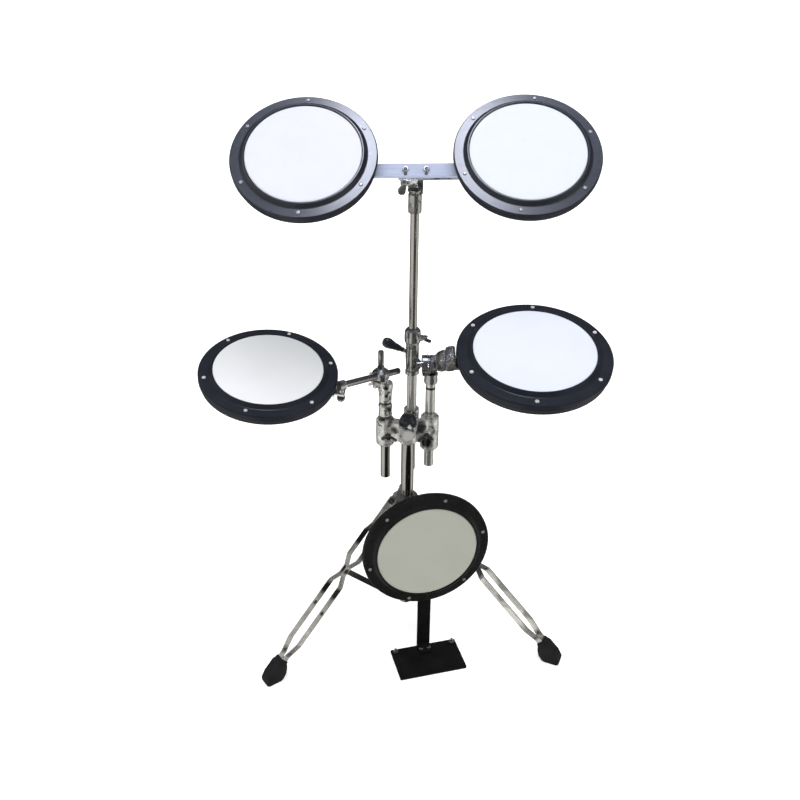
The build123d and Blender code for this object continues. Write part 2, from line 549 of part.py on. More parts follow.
# plate on the floor: 140 x 84, the post folds up from its rear edge
PLATE_L, PLATE_W, PLATE_T, YAW = 140.0, 84.0, 4.0, 15.3
yv = math.radians(YAW)
PF = Plane(origin=(47.6, -131.9, 0), x_dir=vec(math.cos(yv), math.sin(yv), 0), z_dir=ZV)
plate = extrude(PF * RectangleRounded(PLATE_L, PLATE_W, 2.5), amount=PLATE_T)
spurs = []
for sx in (-1, 1):
    at = Pos(sx * (PLATE_L / 2 - 9), PLATE_W / 2 - 9, 0)
    plate -= PF * (at * Pos(0, 0, -1) * Cylinder(3.1, 8, align=C3))
    spurs.append(PF * (at * lathe([(0, 1.2), (1.6, 2.2), (3.0, 3.0), (3.0, PLATE_T), (5.6, PLATE_T),
                                   (5.6, PLATE_T + 3.6), (3.0, PLATE_T + 3.6), (3.0, PLATE_T + 9),
                                   (2.4, PLATE_T + 10), (0, PLATE_T + 10)])))
POST_X = 5.0
post = block(PB, (POST_X - 13.5, POST_X + 13.5), (PLATE_T, 330), (-4.0, 0))
post += block(PB, (POST_X - 13.5, POST_X + 13.5), (PLATE_T, PLATE_T + 4), (-4, 26))
for sy in (14,):
    for sx in (POST_X - 8, POST_X + 8):
        hole = PB * (Pos(sx, 0, sy) * Rot(90, 0, 0) * Cylinder(2.6, 40, align=(Align.CENTER,) * 3))
        post -= hole
        plate -= hole
for hh in (205, 318):
    for sx in (POST_X - 7, POST_X + 7):
        hole = PB * (Pos(sx, hh, -8) * Cylinder(2.1, 13.5, align=C3))
        post -= hole
        shell -= hole
        screws.append(PB * (Pos(sx, hh, 0) * lathe([(0, -6.6), (4, -6.6), (4, -4), (2.0, -4),
                                                    (2.0, 5), (0, 5)])))
save("bass_shell", shell)
save("bass_plate", plate)
for sx in (POST_X - 8, POST_X + 8):
    b = lathe([(0, 0.6), (2.55, 0.6), (2.55, PLATE_T + 4), (4.6, PLATE_T + 4), (4.6, PLATE_T + 5.6),
               (3.4, PLATE_T + 6.6), (0, PLATE_T + 6.8)])
    c = PB.from_local_coords(vec(sx, 0, 14))
    spurs.append(Pos(c.X, c.Y, 0) * b)
# link from the post to the stand tube: a flat arm and a collar
LINK_Z = 118.0
pb = PB.from_local_coords(vec(POST_X, LINK_Z, -4.0))
lk = vec(pb.X, pb.Y, 0)
ld_ = lk.normalized()
armL = Plane(origin=(0, 0, LINK_Z), x_dir=ld_, z_dir=ZV)
post += tube((0, 0, LINK_Z - 9), (0, 0, LINK_Z + 9), 18.0, BASE_R)
post += block(armL, (14, lk.length + 2.0), (-9, 9), (-2.5, 2.5))
post -= rod((0, 0, LINK_Z - 20), (0, 0, LINK_Z + 20), BASE_R)
save("bass_post", post)
save("bass_screws", *screws)
save("bass_spurs", *spurs)

print(len(PARTS), "nodes")
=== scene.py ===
import math
import bpy
import bmesh
from mathutils import Matrix, Vector


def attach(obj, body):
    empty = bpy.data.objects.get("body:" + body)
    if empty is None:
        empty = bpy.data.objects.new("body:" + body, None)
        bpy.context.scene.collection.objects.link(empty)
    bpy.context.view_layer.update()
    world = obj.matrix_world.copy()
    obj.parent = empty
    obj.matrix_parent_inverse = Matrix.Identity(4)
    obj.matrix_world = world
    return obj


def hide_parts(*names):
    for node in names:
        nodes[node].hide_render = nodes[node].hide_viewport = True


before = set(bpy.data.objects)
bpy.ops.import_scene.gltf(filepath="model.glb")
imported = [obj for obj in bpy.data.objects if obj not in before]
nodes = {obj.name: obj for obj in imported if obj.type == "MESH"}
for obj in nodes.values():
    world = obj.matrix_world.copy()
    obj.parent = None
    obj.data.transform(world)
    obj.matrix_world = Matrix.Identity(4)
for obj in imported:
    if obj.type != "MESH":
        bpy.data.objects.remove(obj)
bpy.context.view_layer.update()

scene = bpy.context.scene
SH = Vector((27.971, -7.307, 0.0))          # stand tube to middle of the footprint, mm
rad = math.radians


# ------------------------------------------------------------------ frames, all in mm
def normal(tilt, az):
    t, a = rad(tilt), rad(az)
    return Vector((math.sin(t) * math.sin(a), -math.sin(t) * math.cos(a), math.cos(t)))


def plane(o, z, x):
    """4x4 in metres-from-millimetres, row frame, from an origin in the stand frame."""
    z = Vector(z).normalized()
    x = Vector(x)
    x = (x - z * x.dot(z)).normalized()
    y = z.cross(x)
    o = Vector(o) + SH
    m = Matrix(((x.x, y.x, z.x, o.x), (x.y, y.y, z.y, o.y), (x.z, y.z, z.z, o.z), (0, 0, 0, 1)))
    return Matrix.Scale(0.001, 4) @ m


ZV = Vector((0, 0, 1))
XD = Vector((math.cos(rad(1.2)), 0, math.sin(rad(1.2))))
NTOP = normal(39.5, 0)
NTOP = (NTOP - XD * NTOP.dot(XD)).normalized()
YTOP = NTOP.cross(XD)
TOP_O = Vector((6.0, 8.0, 1007.6))
TOP = plane(TOP_O, NTOP, XD)
PADS = {
    "top_left": (plane(TOP_O - XD * 190.2, NTOP, XD), "bar", -2),
    "top_right": (plane(TOP_O + XD * 190.2, NTOP, XD), "bar", -9),
    "left": (plane((-255, -61, 633), normal(14, 20.5), (1, 0, 0)), "left_pad", -13),
    "right": (plane((200, -213, 745), normal(16, 1), (1, 0, 0)), "right_pad", -4),
    "bass": (plane((40.5, -122.6, 269), normal(90, 14), (1, 0, 0)), "stand", -17),
}


def radial(az):
    a = rad(az)
    return Vector((math.sin(a), -math.cos(a), 0)), Vector((math.cos(a), math.sin(a), 0))


# ------------------------------------------------------------------ mesh helpers
def make(name, verts, faces, mats, body=None, slot=None, smooth=True, sharp=None):
    me = bpy.data.meshes.new(name)
    me.from_pydata([tuple(v) for v in verts], [], faces)
    me.validate()
    bm = bmesh.new()
    bm.from_mesh(me)
    bmesh.ops.remove_doubles(bm, verts=bm.verts, dist=1e-6)
    bmesh.ops.recalc_face_normals(bm, faces=bm.faces)
    for f in bm.faces:
        f.smooth = smooth
    bm.to_mesh(me)
    bm.free()
    if sharp:
        me.set_sharp_from_angle(angle=rad(sharp))
    ob = bpy.data.objects.new(name, me)
    scene.collection.objects.link(ob)
    for m in (mats if isinstance(mats, (list, tuple)) else [mats]):
        me.materials.append(m)
    if body:
        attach(ob, body)
    return ob


def lathe_data(profile, m, seg=96, closed=False):
    """Rings of the profile [(r, z)] about the Z of matrix m (millimetres in, metres out)."""
    verts, faces, rings = [], [], []
    for r, z in profile:
        if r < 1e-6:
            rings.append([len(verts)])
            verts.append(m @ Vector((0, 0, z)))
        else:
            base = len(verts)
            rings.append(list(range(base, base + seg)))
            for k in range(seg):
                a = 2 * math.pi * k / seg
                verts.append(m @ Vector((r * math.cos(a), r * math.sin(a), z)))
    pairs = list(zip(rings, rings[1:]))
    if closed:
        pairs.append((rings[-1], rings[0]))
    for a, b in pairs:
        if len(a) == 1 and len(b) == 1:
            continue
        for k in range(seg):
            k2 = (k + 1) % seg
            if len(a) == 1:
                faces.append((a[0], b[k], b[k2]))
            elif len(b) == 1:
                faces.append((a[k], b[0], a[k2]))
            else:
                faces.append((a[k], b[k], b[k2], a[k2]))
    return verts, faces


def join_data(parts):
    verts, faces = [], []
    for v, f in parts:
        n = len(verts)
        verts += v
        faces += [tuple(i + n for i in q) for q in f]
    return verts, faces


def chaikin(pts, n=2):
    for _ in range(n):
        out = []
        for i, p in enumerate(pts):
            q = pts[(i + 1) % len(pts)]
            out.append((p[0] * 0.75 + q[0] * 0.25, p[1] * 0.75 + q[1] * 0.25))
            out.append((p[0] * 0.25 + q[0] * 0.75, p[1] * 0.25 + q[1] * 0.75))
        pts = out
    return pts


# ------------------------------------------------------------------ materials
class Mat:
    """A small builder round one Principled shader."""

    def __init__(self, name, **sockets):
        self.m = bpy.data.materials.new(name)
        self.m.use_nodes = True
        self.t = self.m.node_tree
        self.p = self.t.nodes["Principled BSDF"]
        for k, v in sockets.items():
            self.set(k, v)
        self.tc = self.t.nodes.new("ShaderNodeTexCoord")
        self.height = None

    def set(self, k, v):
        names = {"rough": "Roughness", "metal": "Metallic", "spec": "Specular IOR Level",
                 "coat": "Coat Weight", "coat_rough": "Coat Roughness", "sheen": "Sheen Weight",
                 "sheen_rough": "Sheen Roughness", "aniso": "Anisotropic", "color": "Base Color"}
        s = self.p.inputs[names[k]]
        s.default_value = (*v, 1.0) if k == "color" else v

    def node(self, kind, **kw):
        n = self.t.nodes.new(kind)
        for k, v in kw.items():
            setattr(n, k, v)
        return n

    def link(self, a, b):
        self.t.links.new(a, b)

    def coords(self, axes=None, scale=(1, 1, 1), offset=(0, 0, 0)):
        """Object coordinates in metres, optionally along three axes, times a scale each."""
        src = self.tc.outputs["Object"]
        if axes is not None:
            comb = self.node("ShaderNodeCombineXYZ")
            for i, a in enumerate(axes):
                d = self.node("ShaderNodeVectorMath", operation="DOT_PRODUCT")
                self.link(src, d.inputs[0])
                d.inputs[1].default_value = tuple(a)
                self.link(d.outputs["Value"], comb.inputs[i])
            src = comb.outputs[0]
        mp = self.node("ShaderNodeMapping")
        mp.inputs["Scale"].default_value = scale
        mp.inputs["Location"].default_value = offset
        self.link(src, mp.inputs["Vector"])
        return mp.outputs[0]

    def noise(self, scale, detail=4.0, rough=0.55, vec=None, dist=0.0):
        n = self.node("ShaderNodeTexNoise")
        n.inputs["Scale"].default_value = scale
        n.inputs["Detail"].default_value = detail
        n.inputs["Roughness"].default_value = rough
        n.inputs["Distortion"].default_value = dist
        self.link(vec if vec is not None else self.tc.outputs["Object"], n.inputs["Vector"])
        return n.outputs["Fac"]

    def ramp(self, fac, stops):
        r = self.node("ShaderNodeValToRGB")
        el = r.color_ramp.elements
        while len(el) < len(stops):
            el.new(0.5)
        for e, (p, c) in zip(el, stops):
            e.position = p
            e.color = (*c, 1.0) if len(c) == 3 else c
        self.link(fac, r.inputs["Fac"])
        return r.outputs["Color"]

    def range(self, fac, a, b, c, d):
        r = self.node("ShaderNodeMapRange")
        for k, v in (("From Min", a), ("From Max", b), ("To Min", c), ("To Max", d)):
            r.inputs[k].default_value = v
        self.link(fac, r.inputs["Value"])
        return r.outputs["Result"]

    def mix(self, fac, a, b):
        m = self.node("ShaderNodeMix", data_type="RGBA")
        if isinstance(fac, float):
            m.inputs["Factor"].default_value = fac
        else:
            self.link(fac, m.inputs["Factor"])
        for sock, v in ((m.inputs["A"], a), (m.inputs["B"], b)):
            pass
        ins = [i for i in m.inputs if i.type == "RGBA"]
        for sock, v in zip(ins, (a, b)):
            if isinstance(v, tuple):
                sock.default_value = (*v, 1.0)
            else:
                self.link(v, sock)
        return [o for o in m.outputs if o.type == "RGBA"][0]

    def math(self, op, a, b):
        m = self.node("ShaderNodeMath", operation=op)
        for s, v in ((m.inputs[0], a), (m.inputs[1], b)):
            if isinstance(v, (int, float)):
                s.default_value = v
            else:
                self.link(v, s)
        return m.outputs[0]

    def color(self, out):
        self.link(out, self.p.inputs["Base Color"])

    def rough(self, out):
        self.link(out, self.p.inputs["Roughness"])

    def bump(self, fac, dist, strength=1.0):
        b = self.node("ShaderNodeBump")
        b.inputs["Distance"].default_value = dist
        b.inputs["Strength"].default_value = strength
        self.link(fac, b.inputs["Height"])
        if self.height is not None:
            self.link(self.height, b.inputs["Normal"])
        self.height = b.outputs["Normal"]
        self.link(self.height, self.p.inputs["Normal"])


def blob(m, c, r0, r1):
    """1 inside r0 mm of the point c (stand frame), 0 beyond r1 mm, with a ragged border."""
    d = m.node("ShaderNodeVectorMath", operation="DISTANCE")
    m.link(m.tc.outputs["Object"], d.inputs[0])
    d.inputs[1].default_value = tuple((Vector(c) + SH) / 1000)
    wob = m.math("MULTIPLY", m.noise(150, 3, 0.6), 0.006)
    return m.range(m.math("ADD", d.outputs["Value"], wob), (r0 + 3) / 1000, (r1 + 3) / 1000, 1.0, 0.0)


def band(m, z, half):
    """1 within half mm of the height z."""
    sep_ = m.node("ShaderNodeSeparateXYZ")
    m.link(m.tc.outputs["Object"], sep_.inputs[0])
    off = m.math("ABSOLUTE", m.math("SUBTRACT", sep_.outputs[2], z / 1000), 0)
    return m.range(off, half * 0.6 / 1000, half * 1.3 / 1000, 1.0, 0.0)


def chrome(name, tint=(0.66, 0.65, 0.62), dark=(0.50, 0.49, 0.46), rough=(0.07, 0.20), axis=None, rings=()):
    m = Mat(name, metal=1.0)
    if axis is None:
        axis = ZV
    a = Vector(axis).normalized()
    b = a.orthogonal().normalized()
    c = a.cross(b)
    cloud = m.noise(9.0, 5, 0.6)
    c_ = m.ramp(cloud, [(0.36, dark), (0.62, tint)])
    for z, half, tone in rings:
        c_ = m.mix(band(m, z, half), c_, tone)
    m.color(c_)
    streak = m.noise(1.0, 3, 0.6, vec=m.coords((a, b, c), (26, 900, 900)))
    spots = m.noise(160, 3, 0.7)
    m.rough(m.math("ADD", m.range(streak, 0.35, 0.7, rough[0], rough[1]),
                   m.range(spots, 0.62, 0.74, 0.0, 0.16)))
    m.bump(streak, 0.000012, 0.5)
    return m.m


def cast(name, tint=(0.52, 0.52, 0.50), dark=(0.20, 0.20, 0.19), rough=(0.16, 0.42), metal=1.0,
         spots=(), rings=(), split=(0.38, 0.50), pits=None):
    """Plated die casting: dull and bright in random blotches, brighter on worn edges; spots, where given, are painted
    shade, dark reflections and highlights at fixed points.
    """
    m = Mat(name, metal=metal)
    big = m.noise(38, 6, 0.62, dist=0.4)
    fine = m.noise(420, 4, 0.6)
    base = m.ramp(big, [(split[0], dark), (split[1], tint), (0.80, tuple(min(1, 1.2 * t) for t in tint))])
    if pits is not None:
        base = m.mix(m.range(m.noise(88, 3, 0.6, vec=m.coords(offset=(0.31, 0.17, 0.05))), 0.56, 0.62, 0.0, 0.85),
                     base, pits)
        base = m.mix(m.range(m.noise(120, 2, 0.5, vec=m.coords(offset=(0.11, 0.57, 0.25))), 0.60, 0.66, 0.0, 0.9),
                     base, (1.0, 0.99, 0.96))
    for c0, r0, r1, tone in spots:
        base = m.mix(blob(m, c0, r0, r1), base, tone)
    for z, half, tone in rings:
        base = m.mix(band(m, z, half), base, tone)
    m.color(base)
    m.rough(m.range(big, 0.3, 0.7, rough[1], rough[0]))
    m.bump(fine, 0.00008, 0.5)
    m.bump(big, 0.0006, 0.35)
    return m.m


def brushed(name, axis, tint=(0.47, 0.46, 0.44), dark=(0.30, 0.295, 0.28), rough=(0.26, 0.44), patch=None,
            spots=()):
    m = Mat(name, metal=1.0, aniso=0.4)
    a = Vector(axis).normalized()
    b = a.orthogonal().normalized()
    c = a.cross(b)
    grain = m.noise(1.0, 5, 0.65, vec=m.coords((a, b, c), (30, 1600, 1600)))
    cloud = m.noise(30, 4, 0.6)
    c_ = m.ramp(m.math("ADD", m.math("MULTIPLY", grain, 0.45), m.math("MULTIPLY", cloud, 0.55)),
                [(0.38, dark), (0.58, tint)])
    if patch is not None:
        c_ = m.mix(m.range(m.noise(19, 2, 0.45), 0.36, 0.44, 0.85, 0.0), c_, patch)
        c_ = m.mix(m.range(m.noise(23, 2, 0.45, vec=m.coords(offset=(0.7, 0.3, 0.5))), 0.56, 0.66, 0.0, 0.8), c_,
                   tuple(min(1.0, 1.35 * v) for v in tint))
    for c0, r0, r1, tone in spots:
        c_ = m.mix(blob(m, c0, r0, r1), c_, tone)
    m.color(c_)
    m.rough(m.range(grain, 0.3, 0.7, rough[0], rough[1]))
    m.bump(grain, 0.00003, 0.45)
    return m.m


def rim_plastic(name, coat=0.0, spec=0.26, rough=(0.20, 0.30), lo=(0.0115, 0.013, 0.018),
                hi=(0.019, 0.0215, 0.029), face=None):
    """Black moulded rim: blue-black, fine spark grain, scuffed on its edges; with an axis, only the
    face along that axis is polished."""
    m = Mat(name, spec=spec, coat=coat, coat_rough=0.17)
    cloud = m.noise(14, 5, 0.6)
    base = m.ramp(cloud, [(0.3, lo), (0.7, hi)])
    m.color(base)
    grain = m.noise(1900, 3, 0.6)
    smear = m.noise(1.0, 4, 0.6, vec=m.coords(scale=(60, 200, 60)))
    m.rough(m.range(smear, 0.3, 0.7, rough[0], rough[1]))
    m.bump(grain, 0.00004, 0.35)
    if face is not None:
        d = m.node("ShaderNodeVectorMath", operation="DOT_PRODUCT")
        m.link(m.tc.outputs["Normal"], d.inputs[0])
        d.inputs[1].default_value = tuple(Vector(face).normalized())
        flat = m.range(d.outputs["Value"], 0.55, 0.85, 0.0, 1.0)
        m.link(m.math("MULTIPLY", flat, coat), m.p.inputs["Coat Weight"])
        m.link(m.range(flat, 0.0, 1.0, 0.12, spec), m.p.inputs["Specular IOR Level"])
    return m.m


def shell_plastic(name):
    m = Mat(name, spec=0.4)
    cloud = m.noise(22, 5, 0.6)
    m.color(m.ramp(cloud, [(0.3, (0.010, 0.0105, 0.012)), (0.7, (0.019, 0.020, 0.023))]))
    grain = m.node("ShaderNodeTexVoronoi")
    grain.inputs["Scale"].default_value = 1300
    m.link(m.tc.outputs["Object"], grain.inputs["Vector"])
    m.rough(m.range(cloud, 0.3, 0.7, 0.46, 0.62))
    m.bump(grain.outputs["Distance"], 0.00006, 0.4)
    return m.m


def head_skin(name, pl, base, shade, painted_shade_fade=None):
    """White coated playing surface: a tight woven emboss, faint stick marks, soft mottling, and optionally a painted
    shade that fades in across the skin.
    """
    m = Mat(name, spec=0.32, sheen=0.08, sheen_rough=0.5)
    x = Vector(pl.col[0][:3]).normalized()
    y = Vector(pl.col[1][:3]).normalized()
    z = Vector(pl.col[2][:3]).normalized()
    w1 = m.node("ShaderNodeTexWave", wave_type="BANDS", bands_direction="X")
    w2 = m.node("ShaderNodeTexWave", wave_type="BANDS", bands_direction="Y")
    co = m.coords((x, y, z), (1, 1, 1))
    for w in (w1, w2):
        w.inputs["Scale"].default_value = 460
        w.inputs["Distortion"].default_value = 0.6
        w.inputs["Detail"].default_value = 1.0
        m.link(co, w.inputs["Vector"])
    weave = m.math("MULTIPLY", w1.outputs["Fac"], w2.outputs["Fac"])
    cloud = m.noise(11, 5, 0.6)
    marks = m.noise(34, 6, 0.7, dist=0.8)
    c = m.ramp(cloud, [(0.30, shade), (0.62, base)])
    c = m.mix(m.range(marks, 0.60, 0.78, 0.0, 0.22), c, tuple(0.80 * v for v in base))
    c = m.mix(m.range(weave, 0.0, 0.5, 0.10, 0.0), c, tuple(0.72 * v for v in base))
    if painted_shade_fade is not None:
        # slow change of tone across the skin, along its own axes: a painted shade, darker towards one side
        g, tone = painted_shade_fade
        d = m.node("ShaderNodeVectorMath", operation="DOT_PRODUCT")
        m.link(m.tc.outputs["Object"], d.inputs[0])
        gv = x * g[0] + y * g[1]
        d.inputs[1].default_value = tuple(gv)
        o = Vector(pl.translation)
        mid = o.dot(gv)
        c = m.mix(m.range(d.outputs["Value"], mid - 0.10, mid + 0.10, 0.0, 1.0), c, tone)
    m.color(c)
    m.rough(m.range(cloud, 0.3, 0.7, 0.50, 0.64))
    m.bump(weave, 0.00005, 0.35)
    m.bump(cloud, 0.0012, 0.10)
    return m.m


def rubber(name):
    m = Mat(name, spec=0.25)
    cloud = m.noise(60, 5, 0.65)
    c = m.ramp(cloud, [(0.3, (0.006, 0.006, 0.006)), (0.7, (0.0135, 0.0135, 0.0135))])
    m.color(c)
    m.rough(m.range(cloud, 0.3, 0.7, 0.55, 0.78))
    m.bump(m.noise(900, 4, 0.6), 0.0001, 0.4)
    return m.m


def powder(name, spec=0.05):
    """Black powder coat with orange peel and rubbed edges."""
    m = Mat(name, spec=spec)
    cloud = m.noise(26, 5, 0.62)
    c = m.ramp(cloud, [(0.3, (0.0055, 0.0052, 0.0053)), (0.72, (0.0115, 0.0108, 0.0108))])
    m.color(c)
    m.rough(m.range(cloud, 0.3, 0.7, 0.34, 0.52))
    m.bump(m.noise(520, 2, 0.5), 0.00010, 0.35)
    return m.m


def matt_silver_reflection(name, axis):
    """Silver-lavender bar drawn matt: its lavender-silver colour is a painted reflection of the pale light above on the
    metal bar; fine metallic flake, drawn along its length, rubbed edges.
    """
    m = Mat(name, spec=0.02, metal=0.0)
    a = Vector(axis).normalized()
    b = a.orthogonal().normalized()
    c = a.cross(b)
    grain = m.noise(1.0, 4, 0.6, vec=m.coords((a, b, c), (14, 380, 380)))
    cloud = m.noise(20, 4, 0.6)
    flake = m.noise(2600, 2, 0.5)
    t = m.math("ADD", m.math("MULTIPLY", grain, 0.55), m.math("MULTIPLY", cloud, 0.45))
    # painted reflection: this lavender-silver colour stands in for the light the metal bar reflects
    base = m.ramp(t, [(0.36, (0.39, 0.44, 0.585)), (0.60, (0.485, 0.537, 0.685))])
    base = m.mix(m.range(flake, 0.6, 0.75, 0.0, 0.25), base, (0.58, 0.62, 0.76))
    m.color(base)
    m.rough(m.range(grain, 0.3, 0.7, 0.38, 0.55))
    m.bump(grain, 0.00004, 0.4)
    return m.m


def hatched(name, axis, pitch=420.0):
    """Dark plated casting with rows of fine ratchet ribs across one axis; the grooves between the ribs are darkened as
    painted shade.
    """
    m = Mat(name, metal=1.0)
    m.set("metal", 0.8)
    a = Vector(axis).normalized()
    b = a.orthogonal().normalized()
    c = a.cross(b)
    w = m.node("ShaderNodeTexWave", wave_type="BANDS", bands_direction="X", wave_profile="TRI")
    w.inputs["Scale"].default_value = pitch
    w.inputs["Distortion"].default_value = 1.2
    w.inputs["Detail"].default_value = 2.0
    m.link(m.coords((a, b, c), (1, 1, 1)), w.inputs["Vector"])
    big = m.noise(46, 6, 0.65, dist=0.5)
    base = m.ramp(big, [(0.36, (0.03, 0.03, 0.03)), (0.50, (0.21, 0.21, 0.207)), (0.66, (0.66, 0.655, 0.64))])
    # painted shade: the grooves between the ribs darkened
    base = m.mix(m.range(w.outputs["Fac"], 0.30, 0.62, 0.62, 0.0), base, (0.04, 0.04, 0.04))
    m.color(base)
    m.rough(m.range(big, 0.3, 0.7, 0.40, 0.20))
    m.bump(w.outputs["Fac"], 0.0006, 0.5)
    m.bump(big, 0.0008, 0.35)
    return m.m


TUBE = chrome("tube_chrome", (0.51, 0.50, 0.475), (0.38, 0.37, 0.345))
TUBE_UP = chrome("tube_chrome_upper", (0.56, 0.54, 0.50), (0.44, 0.42, 0.39), (0.12, 0.26))
# the column and right arm tubes are lighter copies of the same chrome, toned to how they are lit: painted light
TUBE_LIT = chrome("tube_chrome_lit", (0.74, 0.73, 0.70), (0.60, 0.59, 0.56), (0.12, 0.26))
TUBE_LIT.node_tree.nodes["Principled BSDF"].inputs["Metallic"].default_value = 0.72
TUBE_RT = chrome("tube_chrome_right", (0.76, 0.75, 0.71), (0.62, 0.61, 0.57), (0.12, 0.26),
                 rings=((558.0, 2.6, (0.035, 0.034, 0.016)), (505.0, 3.0, (0.22, 0.22, 0.20))))
TUBE_RT.node_tree.nodes["Principled BSDF"].inputs["Metallic"].default_value = 0.72
TUBE_DK = chrome("tube_chrome_dark", (0.40, 0.40, 0.40), (0.25, 0.25, 0.25), (0.12, 0.26))
CAST = cast("cast_chrome", (0.74, 0.73, 0.70), (0.16, 0.16, 0.16), (0.08, 0.22), 0.9)
CAST_DK = cast("cast_chrome_dark", (0.42, 0.42, 0.41), (0.05, 0.05, 0.05), (0.10, 0.26), 0.95)
BOLT_DK = cast("bolt_black_oxide", (0.13, 0.13, 0.125), (0.02, 0.02, 0.02), (0.16, 0.32), 0.9)
# the hub's spots are painted light: the dark ones paint dark reflections and shade on the chrome, the white dot and the
# pale patch below it paint highlights
HUB = cast("cast_hub", (0.63, 0.62, 0.585), (0.20, 0.20, 0.19), (0.10, 0.24), 0.62,
           spots=(((0, -8, 497), 17, 22, (0.045, 0.047, 0.055)), ((33, -4, 446), 11, 18, (0.018, 0.018, 0.016)),
                  ((23, 2, 478), 9, 15, (0.07, 0.07, 0.07)), ((-24, 4, 474), 7, 12, (0.09, 0.09, 0.09)),
                  ((3, -20, 489.5), 3, 5, (1.0, 1.0, 1.0)), ((0, -24, 470), 9, 14, (0.98, 0.965, 0.93))),
           split=(0.30, 0.42), pits=(0.06, 0.06, 0.055))
# the dark spots on the left arm casting are painted shade in its slots and hollows
CAST_L = cast("cast_left_arm", (0.66, 0.65, 0.615), (0.16, 0.16, 0.15), (0.10, 0.24), 0.72,
              spots=(((-43, 0, 563), 3, 6, (0.03, 0.03, 0.03)), ((-42, 0, 545), 2.5, 5.5, (0.03, 0.03, 0.03)),
                     ((-38, 2, 552), 2, 5, (0.04, 0.04, 0.04)), ((-36, 6, 515), 4, 8, (0.10, 0.10, 0.10))),
              rings=((526.5, 2.2, (0.05, 0.05, 0.05)), (497.5, 2.0, (0.06, 0.06, 0.06))), split=(0.30, 0.42),
              pits=(0.07, 0.07, 0.065))
HATCH = hatched("cast_ratchet", (0, 0.35, 0.94))
BOLT = cast("bolt_steel", (0.62, 0.62, 0.61), (0.36, 0.36, 0.35), (0.14, 0.30))
# one zinc screw in three copies toned to their light: the top pads' and the bass pad's screws are darkened copies,
# painted shade
SCREW = cast("screw_zinc", (0.86, 0.86, 0.87), (0.62, 0.62, 0.63), (0.22, 0.36))
SCREW_TOP = cast("screw_zinc_shaded", (0.40, 0.41, 0.43), (0.16, 0.165, 0.175), (0.22, 0.36))
SCREW_BASS = cast("screw_zinc_deep_shaded", (0.30, 0.30, 0.295), (0.10, 0.10, 0.098), (0.22, 0.36))
for m_ in (SCREW, SCREW_TOP, SCREW_BASS):
    m_.node_tree.nodes["Principled BSDF"].inputs["Metallic"].default_value = 0.35
GRIP = rim_plastic("grip_black", 0.25, 0.4)
BAR = matt_silver_reflection("bar_matt_silver_reflection", XD)
RIM = rim_plastic("rim_black", 0.0, 0.14, (0.28, 0.284))
RIM_TOPS = {k: rim_plastic("rim_black_polished_" + k, 0.76, 0.40, (0.27, 0.36), face=PADS[k][0].col[2][:3])
            for k in ("top_left", "top_right")}
# the bass rim's colour is a darker copy of the rim black: painted shade on the shaded upright pad
RIM_BASS = rim_plastic("rim_black_dull_shaded", 0.0, 0.12, (0.24, 0.34), (0.0078, 0.0078, 0.0076), (0.0135, 0.0135, 0.013))
SHELL = shell_plastic("shell_black")
RUBBER = rubber("foot_rubber")
PLATE = powder("plate_black")
# one white head skin, toned per pad to how it is lit: the bass head's darker green-grey is painted shade, the left head
# fades into a painted shade, and the top and right heads carry small painted tone shifts for their light
HEADM = {
    "top_left": head_skin("head_top_left", PADS["top_left"][0], (0.735, 0.745, 0.80), (0.70, 0.712, 0.78)),
    "top_right": head_skin("head_top_right", PADS["top_right"][0], (0.730, 0.760, 0.82), (0.70, 0.73, 0.80)),
    "right": head_skin("head_right", PADS["right"][0], (0.728, 0.758, 0.855), (0.695, 0.722, 0.825)),
    "left": head_skin("head_left_painted_shade", PADS["left"][0], (0.84, 0.84, 0.86), (0.80, 0.80, 0.82),
                      painted_shade_fade=((0.30, 0.95), (0.62, 0.635, 0.64))),
    "bass": head_skin("head_bass", PADS["bass"][0], (0.418, 0.420, 0.354), (0.397, 0.399, 0.338)),
}
LEG_AZ = {"left": -54.0, "right": 67.0, "rear": 186.5}
LEGM, STRUTM = {}, {}
# dark spots painted on the leg strips as dark reflections, most on the left leg
LEG_DARK_REFLECTIONS = {                                        # along the leg, across it, inner and outer radius
    "left": ((214, 16.5, 9, 17), (218, -16.5, 9, 18), (364, 0, 8, 14), (92, -16.5, 14, 24), (168, 3, 4, 9),
             (262, 16.5, 2.5, 6), (255, -16.5, 2.5, 6)),
    "right": ((366, 0, 7, 13), (198, 12, 2, 6)),
    "rear": ((210, -16.5, 8, 16), (330, 16.5, 6, 12), (168, 3, 4, 9)),
}
for k, az in LEG_AZ.items():
    r, t = radial(az)
    tp, dn = r * 34.0 + ZV * 315.03, (r - ZV).normalized()
    dark_reflection_spots = [(tp + dn * a + t * b, c, d, (0.035, 0.035, 0.033)) for a, b, c, d in LEG_DARK_REFLECTIONS[k]]
    LEGM[k] = brushed("leg_steel_" + k, r - ZV, (0.66, 0.65, 0.62), (0.44, 0.43, 0.41), (0.18, 0.34),
                      patch=(0.30, 0.295, 0.28), spots=dark_reflection_spots)
    STRUTM[k] = brushed("strut_steel_" + k, r + ZV, (0.10, 0.098, 0.092), (0.035, 0.035, 0.033), (0.2, 0.36),
                        patch=(0.02, 0.02, 0.02))

EDGE_METAL = cast("edge_worn_chrome", (0.84, 0.83, 0.80), (0.58, 0.57, 0.55), (0.16, 0.30))
EDGE_RIM = rim_plastic("edge_scuffed_black", 0.0, 0.3, (0.3, 0.45), (0.022, 0.024, 0.030), (0.045, 0.048, 0.058))
EDGE_POWDER = powder("edge_rubbed_black", 0.3)
EDGE_BAR = matt_silver_reflection("edge_rubbed_silver", XD)


def edge_of(mat):
    if mat in (RIM, RIM_BASS, SHELL) or mat in RIM_TOPS.values():
        return EDGE_RIM
    if mat in (PLATE, RUBBER):
        return EDGE_POWDER
    return EDGE_BAR if mat == BAR else EDGE_METAL


